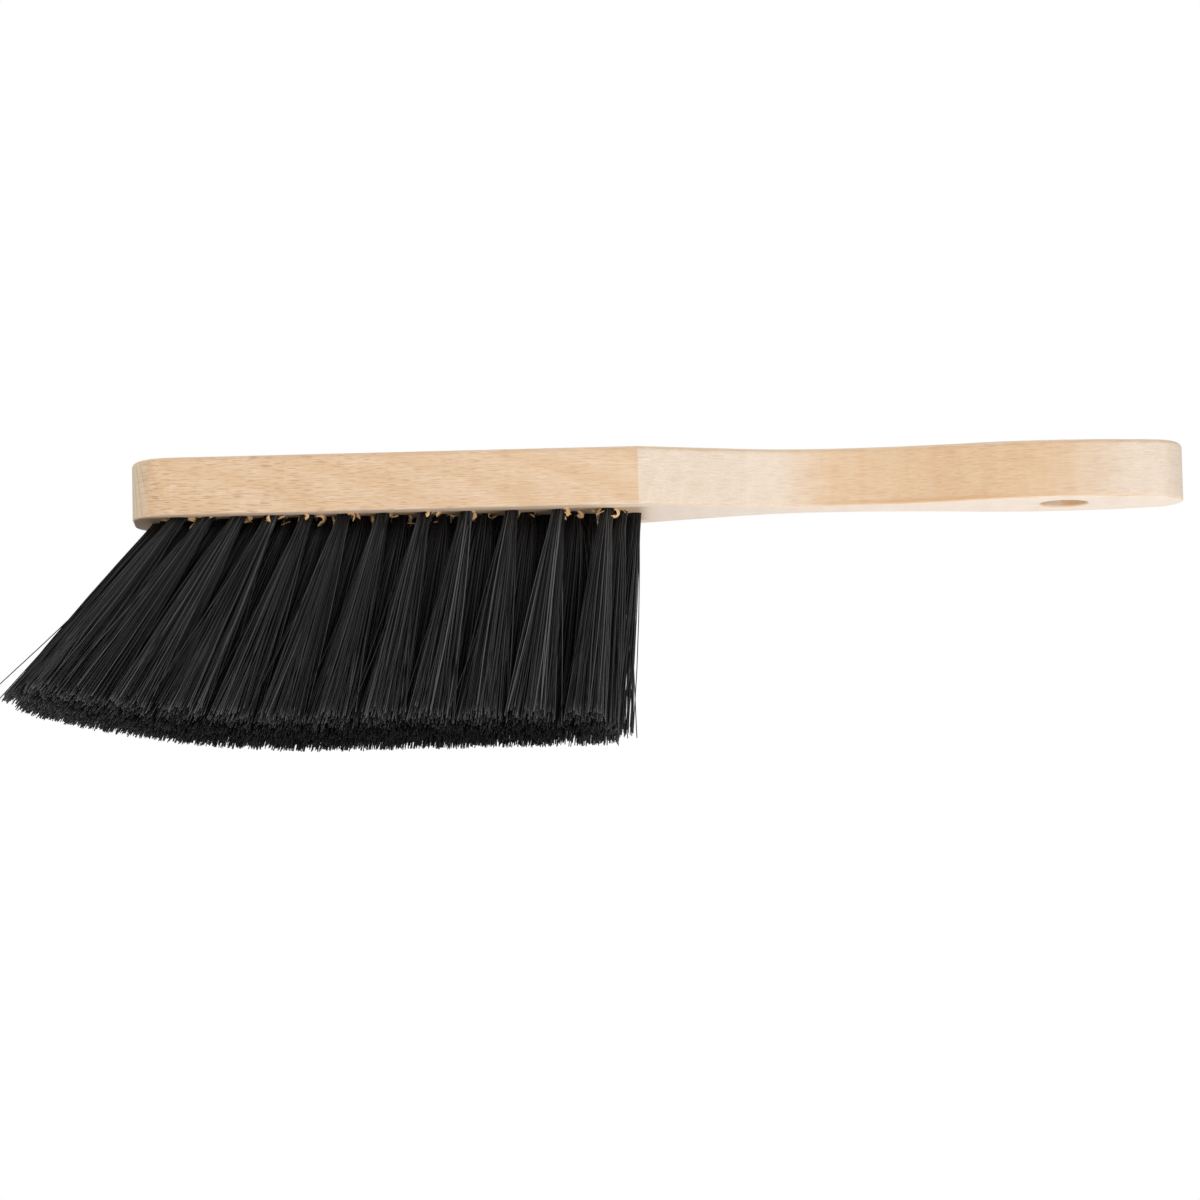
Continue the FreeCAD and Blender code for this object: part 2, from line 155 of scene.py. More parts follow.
# %% Read the tufts' seats from the frame
COLLAR_TOP = 0.3 * MM
COLLAR_BOTTOM = 6 * MM
FIRST_LEAN = 0.25
LAST_LEAN = {"middle": -0.2, "inner": 0.35, "outer": 0.25}
FRONT_LIMIT = -1.35
STRAY_LIMIT = 2.4
LAST_LIMIT = 1.05


def solids_of(name):
    """The points of each separate solid in a node."""
    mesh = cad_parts[name].data
    points = np.zeros(len(mesh.vertices) * 3, np.float32)
    mesh.vertices.foreach_get("co", points)
    ends = np.zeros(len(mesh.edges) * 2, np.int32)
    mesh.edges.foreach_get("vertices", ends)
    points, merged = np.unique(points.reshape(-1, 3).round(6), axis=0, return_inverse=True)
    ends = merged.ravel()[ends].reshape(-1, 2)
    label = np.arange(len(points))
    while True:
        least = label[ends].min(axis=1)
        spread = label.copy()
        np.minimum.at(spread, ends[:, 0], least)
        np.minimum.at(spread, ends[:, 1], least)
        if (spread == label).all():
            return [points[label == solid] for solid in np.unique(label)]
        label = spread


def tuft_seat(points):
    """Mouth of the tuft's hole and the direction in which the tuft leaves it."""
    drop = underside - points[:, 2]
    root = points[drop < 0].mean(axis=0)
    collar = points[(drop > COLLAR_TOP) & (drop < COLLAR_BOTTOM)].mean(axis=0)
    axis = Vector(collar - root).normalized()
    mouth = Vector(root) + axis * ((underside - root[2]) / axis.z)
    return mouth, axis


def seats_mesh(row):
    """One loose point for each hole of a row, carrying the tuft's own three directions."""
    names = sorted(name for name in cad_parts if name.startswith("tuft") and f"_{row}" in name)
    seats = [tuft_seat(points) for name in names for points in solids_of(name)]
    seats.sort(key=lambda seat: seat[0].x)
    mesh = bpy.data.meshes.new(f"seats_{row}")
    mesh.from_pydata([mouth for mouth, axis in seats], [], [])
    directions = {"axis": [], "along": [], "across": []}
    for mouth, axis in seats:
        along = (Vector((1, 0, 0)) - axis * axis.x).normalized()
        directions["axis"].append(axis)
        directions["along"].append(along)
        directions["across"].append(axis.cross(along))
    for label, vectors in directions.items():
        layer = mesh.attributes.new(label, "FLOAT_VECTOR", "POINT")
        layer.data.foreach_set("vector", np.array(vectors, np.float32).ravel())
    # A tuft that is seen from outside stays tight below its hole. The first and the last tuft
    # of a row lean a little, which evens out the front and the back of the brush, and the last
    # one lets no stray out.
    numbers = np.arange(len(seats), dtype=np.float32)
    tight = np.full(len(seats), float("outer" in row), np.float32)
    tight[[0, -1]] = 1
    lean = np.zeros(len(seats), np.float32)
    lean[0], lean[-1] = FIRST_LEAN, LAST_LEAN[row.split("_")[-1]]
    reach = np.full(len(seats), STRAY_LIMIT, np.float32)
    reach[-1] = LAST_LIMIT
    for label, values in {"number": numbers, "tight": tight, "lean": lean, "reach": reach}.items():
        layer = mesh.attributes.new(label, "FLOAT", "POINT")
        layer.data.foreach_set("value", values)
    return names, mesh


seats = {row: seats_mesh(row) for row in ROWS}
for row, (names, mesh) in seats.items():
    first, last = mesh.vertices[0].co, mesh.vertices[-1].co
    print(row, len(mesh.vertices), "tufts from", round(first.x / MM, 1), "to", round(last.x / MM, 1), "mm")

# %% [markdown]
# ## The cut of the bristles
#
# After the holes are filled, all the bristles are cut together: flat under the block, rising
# towards the nose and a little towards both sides. The same cut is a small node group here, which
# tells for any place how high above the floor the bristle has to end.

# %% The cut as a node group


def bend_rise(tree, distance, radius):
    """How far a round bend has risen at that distance from where it starts."""
    inner = calc(tree, "SUBTRACT", calc(tree, "POWER", radius, 2.0), calc(tree, "POWER", distance, 2.0))
    return calc(tree, "SUBTRACT", radius, calc(tree, "SQRT", inner))


def cut_group():
    cut_sizes = ("Flat Place", "Nose Bend", "Crown Flat", "Crown Bend")
    inputs = {"Place": "Vector", **{label: "Float" for label in cut_sizes}}
    tree, given = new_group("cut_height", "GeometryNodeTree", inputs, {"Height": "Float"})
    x, y = axes_of(tree, given["Place"])[:2]
    ahead = calc(tree, "MAXIMUM", calc(tree, "SUBTRACT", given["Flat Place"], x), 0.0)
    aside = calc(tree, "SUBTRACT", calc(tree, "ABSOLUTE", y), given["Crown Flat"])
    aside = calc(tree, "MAXIMUM", aside, 0.0)
    rise = calc(
        tree,
        "ADD",
        bend_rise(tree, ahead, given["Nose Bend"]),
        bend_rise(tree, aside, given["Crown Bend"]),
    )
    close_group(tree, {"Height": rise})
    return tree, cut_sizes


cut_height, CUT_SIZES = cut_group()
print("cut group:", len(cut_height.nodes), "nodes")

# %% [markdown]
# ## Bristles from Geometry Nodes
#
# A tuft is a bundle of straight filaments, folded into its hole, that spread like a brush. One
# tree makes a whole row: each seat is copied once for every bristle, the copies are laid out in a
# sunflower pattern, and a thin five-sided rod is bent from its place in the hole to its place in
# the fan. Clumps, strays and uneven tips come from noise with a fixed seed.

# %% The bristle tree
GOLDEN_ANGLE = math.pi * (3 - math.sqrt(5))
RINGS = 8
RING_CROWDING = 1.5
TIP_SHARE = 0.03
SIDES = 5
HIDDEN_ROOM = 1.1
CLUMP_CELLS = 1.7
WAVE_CELLS = (2.8, 2.8, 1.0)
TUFT_STEP = 7.3
END_CLEARANCE = 0.6


def chance(tree, seed, offset, low, high, vector=False):
    """Random number or vector for each bristle."""
    kind = "FLOAT_VECTOR" if vector else "FLOAT"
    span = {"Min": (low,) * 3, "Max": (high,) * 3} if vector else {"Min": low, "Max": high}
    index = add(tree, "GeometryNodeInputIndex")
    inputs = {**span, "ID": index, "Seed": calc(tree, "ADD", seed, offset)}
    return add(tree, "FunctionNodeRandomValue", inputs, out="Value", data_type=kind)


def store(tree, geometry, name, kind, value, domain="POINT"):
    """Keeps a value on the points or faces under a name."""
    inputs = {"Geometry": geometry, "Name": name, "Value": value}
    return add(tree, "GeometryNodeStoreNamedAttribute", inputs, data_type=kind, domain=domain)


def named(tree, name, kind="FLOAT_VECTOR"):
    """Reads a kept value."""
    inputs = {"Name": name}
    return add(tree, "GeometryNodeInputNamedAttribute", inputs, out="Attribute", data_type=kind)


def bristle_group():
    lengths = ("Thickness", "Root Radius", "Tip Length", "Tip Width", "Hidden Length", *CUT_SIZES)
    fan = ("Collar", "Inner Flare", "Side Limit", "Jitter", "Clump", "Bow", "Brightest With Painted Shade")
    tips = ("Ragged", "Clump Ragged", "Stray Share", "Stray Reach")
    inputs = {
        "Geometry": "Geometry",
        "Bristles": "Int",
        **{label: "Float" for label in lengths + fan + tips},
        "Seed": "Int",
        "Material": "Material",
    }
    tree, given = new_group("bristle_row", "GeometryNodeTree", inputs, {"Geometry": "Geometry"})
    seed = given["Seed"]

    copies = tree.nodes.new("GeometryNodeDuplicateElements")
    copies.domain = "POINT"
    feed(tree, copies.inputs["Geometry"], given["Geometry"])
    feed(tree, copies.inputs["Amount"], given["Bristles"])
    place = copies.outputs["Duplicate Index"]

    # Place of the bristle in its bundle, as shares of the bundle's two half widths.
    share = calc(tree, "SQRT", calc(tree, "DIVIDE", calc(tree, "ADD", place, 0.5), given["Bristles"]))
    angle = calc(tree, "MULTIPLY", place, GOLDEN_ANGLE)
    u = calc(tree, "MULTIPLY", share, calc(tree, "COSINE", angle))
    v = calc(tree, "MULTIPLY", share, calc(tree, "SINE", angle))
    own = calc(tree, "ADD", calc(tree, "MULTIPLY", named(tree, "number", "FLOAT"), TUFT_STEP), seed)
    disc = add(tree, "ShaderNodeCombineXYZ", {0: u, 1: v, 2: own})

    # Where it ends in the fan: jitter, clumps and a few strays.
    jitter = vec(tree, "SCALE", chance(tree, seed, 1, -1.0, 1.0, vector=True), given["Jitter"])
    noise = {"Vector": disc, "Scale": CLUMP_CELLS, "Detail": 1.0}
    clump = add(tree, "ShaderNodeTexNoise", noise, out="Color", noise_dimensions="3D")
    clump = vec(tree, "SCALE", vec(tree, "SUBTRACT", clump, (0.5, 0.5, 0.5)), given["Clump"])
    is_stray = calc(tree, "LESS_THAN", chance(tree, seed, 2, 0.0, 1.0), given["Stray Share"])
    swing = calc(tree, "MULTIPLY", is_stray, given["Stray Reach"])
    stray = vec(tree, "SCALE", chance(tree, seed, 3, -1.0, 1.0, vector=True), swing)
    flat = vec(tree, "MULTIPLY", total(tree, disc, jitter, clump, stray), (1.0, 1.0, 0.0))
    tip_u, tip_v = axes_of(tree, flat)[:2]
    tip_u = calc(tree, "ADD", tip_u, named(tree, "lean", "FLOAT"))
    lengthways = {"Value": tip_u, "Min": FRONT_LIMIT, "Max": named(tree, "reach", "FLOAT")}
    tip_u = add(tree, "ShaderNodeClamp", lengthways)
    limit = given["Side Limit"]
    sideways = {"Value": tip_v, "Min": calc(tree, "MULTIPLY", limit, -1.0), "Max": limit}
    tip_v = add(tree, "ShaderNodeClamp", sideways)

    # From the hole's mouth straight towards the floor, and sideways to its place in the fan.
    axis, along, across = (named(tree, label) for label in ("axis", "along", "across"))
    mouth = add(tree, "GeometryNodeInputPosition")
    tight = named(tree, "tight", "FLOAT")
    packing = calc(tree, "MULTIPLY", tight, HIDDEN_ROOM - 1.0)
    packing = calc(tree, "SUBTRACT", HIDDEN_ROOM, packing)
    bundle = calc(tree, "MULTIPLY", given["Root Radius"], packing)
    root_u = calc(tree, "MULTIPLY", u, bundle)
    root_v = calc(tree, "MULTIPLY", v, bundle)
    root = total(tree, mouth, vec(tree, "SCALE", along, root_u), vec(tree, "SCALE", across, root_v))
    root_z = axes_of(tree, root)["Z"]
    fall = calc(tree, "DIVIDE", root_z, calc(tree, "MULTIPLY", axes_of(tree, axis)["Z"], -1.0))
    half_length = calc(tree, "MULTIPLY", given["Tip Length"], 0.5)
    half_width = calc(tree, "MULTIPLY", given["Tip Width"], 0.5)
    out_u = calc(tree, "SUBTRACT", calc(tree, "MULTIPLY", tip_u, half_length), root_u)
    out_v = calc(tree, "SUBTRACT", calc(tree, "MULTIPLY", tip_v, half_width), root_v)
    straight = vec(tree, "SCALE", axis, fall)
    spread = vec(tree, "ADD", vec(tree, "SCALE", along, out_u), vec(tree, "SCALE", across, out_v))
    full = vec(tree, "ADD", straight, spread)
    full_z = axes_of(tree, full)["Z"]

    # Cut to length: the height of the cut where the bristle ends, found in three passes.
    height = 0.0
    clearance = calc(tree, "MULTIPLY", given["Thickness"], END_CLEARANCE)
    for _ in range(3):
        length = calc(tree, "DIVIDE", calc(tree, "SUBTRACT", height, root_z), full_z)
        end = vec(tree, "ADD", root, vec(tree, "SCALE", full, length))
        group = tree.nodes.new("GeometryNodeGroup")
        group.node_tree = cut_height
        feed(tree, group.inputs["Place"], end)
        for label in CUT_SIZES:
            feed(tree, group.inputs[label], given[label])
        height = calc(tree, "ADD", group.outputs["Height"], clearance)
    length = calc(tree, "DIVIDE", calc(tree, "SUBTRACT", height, root_z), full_z)
    uneven = calc(tree, "POWER", chance(tree, seed, 4, 0.0, 1.0), 1.5)
    uneven = calc(tree, "MULTIPLY", uneven, given["Ragged"])
    wave = {"Vector": vec(tree, "MULTIPLY", disc, WAVE_CELLS), "Scale": 1.0, "Detail": 1.0}
    wave = window(tree, add(tree, "ShaderNodeTexNoise", wave, noise_dimensions="3D"), 0.42, 0.75)
    uneven = calc(tree, "ADD", uneven, calc(tree, "MULTIPLY", wave, given["Clump Ragged"]))
    length = calc(tree, "MULTIPLY", length, calc(tree, "SUBTRACT", 1.0, uneven))
    bow = vec(tree, "SCALE", chance(tree, seed, 5, -1.0, 1.0, vector=True), given["Bow"])

    points = copies.outputs["Geometry"]
    for label, value in {
        "root": root,
        "straight": vec(tree, "SCALE", straight, length),
        "spread": vec(tree, "SCALE", spread, length),
        "bow": bow,
    }.items():
        points = store(tree, points, label, "FLOAT_VECTOR", value)
    # A random tone for each bristle. In the hidden rows its top is lowered as painted shade.
    shade = calc(tree, "MULTIPLY", chance(tree, seed, 6, 0.0, 1.0), given["Brightest With Painted Shade"])
    points = store(tree, points, "shade", "FLOAT", shade)

    # One straight rod, one unit long, that remembers its own section and height, with flat ends.
    rod = add(tree, "GeometryNodeCurvePrimitiveLine", {"Start": (0, 0, 0), "End": (0, 0, 1)})
    rod = add(tree, "GeometryNodeResampleCurve", {"Curve": rod, "Count": RINGS})
    radius = calc(tree, "MULTIPLY", given["Thickness"], 0.5)
    ring = add(tree, "GeometryNodeCurvePrimitiveCircle", {"Resolution": SIDES, "Radius": radius})
    rod_inputs = {"Curve": rod, "Profile Curve": ring, "Fill Caps": True}
    rod = add(tree, "GeometryNodeCurveToMesh", rod_inputs)
    rod = store(tree, rod, "rod", "FLOAT_VECTOR", add(tree, "GeometryNodeInputPosition"))
    is_end = calc(tree, "ABSOLUTE", axes_of(tree, add(tree, "GeometryNodeInputNormal"))["Z"])
    is_end = calc(tree, "GREATER_THAN", is_end, 0.5)
    rod = store(tree, rod, "cut_end", "FLOAT", is_end, "FACE")

    rods = add(tree, "GeometryNodeInstanceOnPoints", {"Points": points, "Instance": rod})
    rods = add(tree, "GeometryNodeRealizeInstances", {"Geometry": rods})

    # The first ring lies deep in the hole, the second at its mouth, and the rest along the fan,
    # which starts to spread below the collar.
    section_x, section_y, step = axes_of(tree, named(tree, "rod"))
    step = calc(tree, "SUBTRACT", calc(tree, "MULTIPLY", step, RINGS - 1.0), 1.0)
    inside = calc(tree, "MULTIPLY", calc(tree, "MINIMUM", step, 0.0), given["Hidden Length"])
    down = calc(tree, "DIVIDE", calc(tree, "MAXIMUM", step, 0.0), RINGS - 3.0)
    down = calc(tree, "POWER", calc(tree, "MINIMUM", down, 1.0), RING_CROWDING)
    at_tip = calc(tree, "MAXIMUM", calc(tree, "SUBTRACT", step, RINGS - 3.0), 0.0)
    down = calc(tree, "MULTIPLY", down, 1.0 - TIP_SHARE)
    down = calc(tree, "ADD", down, calc(tree, "MULTIPLY", at_tip, TIP_SHARE))
    collar = calc(tree, "MULTIPLY", given["Collar"], tight)
    past_collar = calc(tree, "SUBTRACT", down, collar)
    fanned = calc(tree, "DIVIDE", past_collar, calc(tree, "SUBTRACT", 1.0, collar))
    loose = calc(tree, "MULTIPLY", calc(tree, "SUBTRACT", 1.0, given["Inner Flare"]), tight)
    flare = calc(tree, "ADD", given["Inner Flare"], loose)
    fanned = calc(tree, "POWER", calc(tree, "MAXIMUM", fanned, 0.0), flare)
    sway = calc(tree, "MULTIPLY", down, calc(tree, "SUBTRACT", 1.0, down))
    spot = total(
        tree,
        named(tree, "root"),
        vec(tree, "SCALE", axis, inside),
        vec(tree, "SCALE", named(tree, "straight"), down),
        vec(tree, "SCALE", named(tree, "spread"), fanned),
        vec(tree, "SCALE", named(tree, "bow"), sway),
        vec(tree, "SCALE", along, section_x),
        vec(tree, "SCALE", across, section_y),
    )
    rods = store(tree, rods, "tip", "FLOAT", at_tip)
    rods = add(tree, "GeometryNodeSetPosition", {"Geometry": rods, "Position": spot})
    is_side = calc(tree, "LESS_THAN", named(tree, "cut_end", "FLOAT"), 0.5)
    smooth = {0: rods, "Selection": True, "Shade Smooth": is_side}
    rods = add(tree, "GeometryNodeSetShadeSmooth", smooth)
    rods = add(tree, "GeometryNodeSetMaterial", {"Geometry": rods, "Material": given["Material"]})
    close_group(tree, {"Geometry": rods})
    return tree


bristle_row = bristle_group()
print("bristle tree:", len(bristle_row.nodes), "nodes")


# %% [markdown]
# ## Beech
#
# Beech is pale and even, with three things that give it away: faint growth rings, fine fibres along
# the plank, and rays. A ray is a thin upright ribbon that runs from the heart of the tree outwards,
# so on one face it shows as a short dark dash and on the next as a small shining flake. All three
# are made as solids in space, so that every face and the end grain cut them as a saw does.

# %% Beech as a shader group
PER_MM = 1 / MM
# Where the heart of the tree lay, and how far its rings wander and run askew, in millimetres
HEART = (0.0, 70.0, 56.0)
RING_WANDER = 2.4
RING_SLANT = 0.043
# Cells of noise in a millimetre along, across and up the plank
WANDER_CELLS = (0.012, 0.05, 0.05)
FIBRE_CELLS = (0.10, 3.0, 3.4)
DRIFT_CELLS = (0.020, 0.05, 0.05)
MOTTLE_CELLS = (0.25, 0.3, 0.2)
BAND_CELLS = (0.30, 0.03, 0.02)
RAY_CELLS = (0.26, 0.12, 4.0)
PATCH_CELLS = (0.04, 0.05, 0.16)
# Stretches of the plank over which a change fades in, in millimetres along it
TO_NOSE = (30.0, -90.0)
TO_BLOCK = (30.0, 10.0)


def stretched_noise(tree, place, per_mm, detail=2.0, roughness=0.5):
    """Noise with its own number of cells in a millimetre along each direction."""
    vector = vec(tree, "MULTIPLY", place, per_mm)
    inputs = {"Vector": vector, "Scale": 1.0, "Detail": detail, "Roughness": roughness}
    return add(tree, "ShaderNodeTexNoise", inputs, out=0, noise_dimensions="3D")


def blend_colour(tree, share, first, second, kind="MIX"):
    """Mix of two colours."""
    made = tree.nodes.new("ShaderNodeMix")
    made.data_type = "RGBA"
    made.blend_type = kind
    feed(tree, made.inputs[0], share)
    feed(tree, made.inputs[6], first)
    feed(tree, made.inputs[7], second)
    return made.outputs[2]


def beech_group():
    inputs = {
        "Place": "Vector",
        "Ring Gap": "Float",
        "Pale": "Color",
        "Tan": "Color",
        "Ray": "Color",
        "Ray Strength": "Float",
    }
    outputs = {"Color": "Color", "Ring Lines": "Float", "Height": "Float"}
    tree, given = new_group("beech_figure", "ShaderNodeTree", inputs, outputs)
    place = vec(tree, "SCALE", given["Place"], PER_MM)
    x = axes_of(tree, place)["X"]

    # Rings round a heart that lies beside the plank and a little askew to it. Each ring starts
    # dark and fades into its pale wood.
    wander = stretched_noise(tree, place, WANDER_CELLS, 1.0)
    from_heart = vec(tree, "SUBTRACT", place, HEART)
    radius = vec(tree, "LENGTH", vec(tree, "MULTIPLY", from_heart, (0.0, 1.0, 1.0)))
    radius = calc(tree, "ADD", radius, calc(tree, "MULTIPLY", wander, RING_WANDER))
    radius = calc(tree, "ADD", radius, calc(tree, "MULTIPLY", x, RING_SLANT))
    ring = calc(tree, "FRACT", calc(tree, "DIVIDE", radius, given["Ring Gap"]))
    late = calc(tree, "MAXIMUM", window(tree, ring, 0.7, 0.0), window(tree, ring, 0.9, 1.0))
    lines = calc(tree, "MULTIPLY", window(tree, ring, 0.8, 0.92), window(tree, ring, 1.0, 0.97))

    # Fibres, blotches and a slow drift of colour along the plank.
    fibre = stretched_noise(tree, place, FIBRE_CELLS, 4.0, 0.7)
    drift = stretched_noise(tree, place, DRIFT_CELLS, 2.0)
    mottle = stretched_noise(tree, place, MOTTLE_CELLS, 3.0)
    band = stretched_noise(tree, place, BAND_CELLS, 2.0)

    # Rays: short along the grain, thin across it and long towards the heart, in patches.
    ray = stretched_noise(tree, place, RAY_CELLS, 1.5)
    ray = window(tree, ray, 0.5, 0.68)
    patch = window(tree, stretched_noise(tree, place, PATCH_CELLS, 1.0), 0.0, 0.6)
    forward = window(tree, x, *TO_NOSE)
    fuller = calc(tree, "ADD", 0.4, calc(tree, "MULTIPLY", forward, 0.6))
    patch = calc(tree, "MULTIPLY", patch, fuller)
    ray = calc(tree, "MULTIPLY", ray, patch)

    # How tan the wood is: its rings, its front half, and fibres that are crisper on the block.
    on_block = window(tree, x, *TO_BLOCK)
    ringed = calc(tree, "ADD", 0.08, calc(tree, "MULTIPLY", on_block, 0.28))
    tone = calc(tree, "MULTIPLY", late, ringed)
    tone = calc(tree, "ADD", tone, calc(tree, "MULTIPLY", forward, 0.15))
    tone = calc(tree, "SUBTRACT", tone, 0.1)
    crisp = calc(tree, "SUBTRACT", window(tree, fibre, 0.3, 0.7), 0.55)
    crisp = calc(tree, "MULTIPLY", crisp, 0.35)
    tone = calc(tree, "ADD", tone, calc(tree, "MULTIPLY", crisp, on_block))
    for source, low, high, weight in (
        (drift, 0.25, 0.75, 0.22),
        (fibre, 0.3, 0.7, 0.6),
        (mottle, 0.3, 0.7, 0.18),
        (band, 0.3, 0.7, 0.22),
    ):
        tone = calc(tree, "ADD", tone, calc(tree, "MULTIPLY", window(tree, source, low, high), weight))
    tone = calc(tree, "MAXIMUM", tone, 0.0)
    colour = blend_colour(tree, tone, given["Pale"], given["Tan"])
    ray_share = calc(tree, "MULTIPLY", ray, given["Ray Strength"])
    colour = blend_colour(tree, ray_share, colour, given["Ray"])
    height = calc(tree, "SUBTRACT", fibre, calc(tree, "MULTIPLY", ray, 0.5))
    close_group(tree, {"Color": colour, "Ring Lines": lines, "Height": height})
    return tree


beech_figure = beech_group()
print("beech group:", len(beech_figure.nodes), "nodes")

# %% [markdown]
# The plank's own material places that group, and adds painted light and shade by the way a face
# turns. Faces that look straight up or down, such as the underside, get a painted sheen that makes
# them paler, less where the bristles shade the block's underside. Side faces that turn to the right,
# such as the slope of the neck, get a painted highlight, and those that turn to the left, such as the
# back of the handle's swell, get painted shade. The underside among the tufts gets a dark brown
# painted shade. The sides of the handle are a little tanner, and the nose is end grain, which looks
# greyer and shows each ring as a thin line. A darker orange line runs along the lower edge of the
# handle.

# %% The finishes
BEECH_PALE = (0.84, 0.65, 0.46, 1)
BEECH_TAN = (0.75, 0.51, 0.31, 1)
BEECH_RAY = (0.55, 0.31, 0.17, 1)
# Painted sheen: added to faces that look straight up or down, to make them paler.
BEECH_PAINTED_SHEEN = (0.02, 0.12, 0.21, 1)
# Painted highlight: added to side faces that turn to the right, as if lit from that side.
BEECH_SLOPE_HIGHLIGHT = (0.04, 0.12, 0.18, 1)
# Makes the handle's sides tanner, and paints shade on side faces that turn to the left.
BEECH_HANDLE_TAN_AND_SHADE = (0.96, 0.925, 0.89, 1)
# Painted shade: dark brown for the underside among the tufts.
BEECH_FIELD_SHADE = (0.40, 0.25, 0.13, 1)
BEECH_END = (0.74, 0.63, 0.47, 1)
BEECH_LINE = (0.33, 0.27, 0.19, 1)
BEECH_EDGE = (0.62, 0.36, 0.17, 1)
BEECH_CURL = (0.96, 0.70, 0.40, 1)
BEECH_TORN = (0.84, 0.50, 0.23, 1)
BRISTLE_DARK = (0.002, 0.002, 0.0023, 1)
BRISTLE_LIGHT = (0.13, 0.13, 0.138, 1)
BRISTLE_CUT = (0.12, 0.12, 0.12, 1)
WIRE_DARK = (0.50, 0.50, 0.49, 1)
WIRE_LIGHT = (0.70, 0.70, 0.68, 1)
RING_GAP = 1.8
CURL_RING_GAP = 0.9
# Where a change of the wood fades in or out, in millimetres
SHADED_BELOW = (20.0, 0.0)
EDGE_STARTS, EDGE_STOPS, EDGE_RISE = (45.0, 90.0), (130.0, 95.0), (2.0, 0.6)
GRIP_STARTS, GRIP_STOPS = (45.0, 95.0), (150.0, 125.0)
FIELD_STOPS, FIELD_SIDES = (16.0, 11.0), (13.5, 11.0)


def new_material(name):
    """An empty material with its tree, its principled shader and its output joined."""
    material = bpy.data.materials.new(name)
    material.use_nodes = True
    tree = material.node_tree
    return material, tree, tree.nodes["Principled BSDF"]


def place_beech(tree, ring_gap, pale, tan, ray_strength):
    """The beech group on the piece's own coordinates."""
    group = tree.nodes.new("ShaderNodeGroup")
    group.node_tree = beech_figure
    coordinates = tree.nodes.new("ShaderNodeTexCoord").outputs
    given = {
        "Place": coordinates["Object"],
        "Ring Gap": ring_gap,
        "Pale": pale,
        "Tan": tan,
        "Ray": BEECH_RAY,
        "Ray Strength": ray_strength,
    }
    for label, value in given.items():
        feed(tree, group.inputs[label], value)
    return group.outputs, coordinates


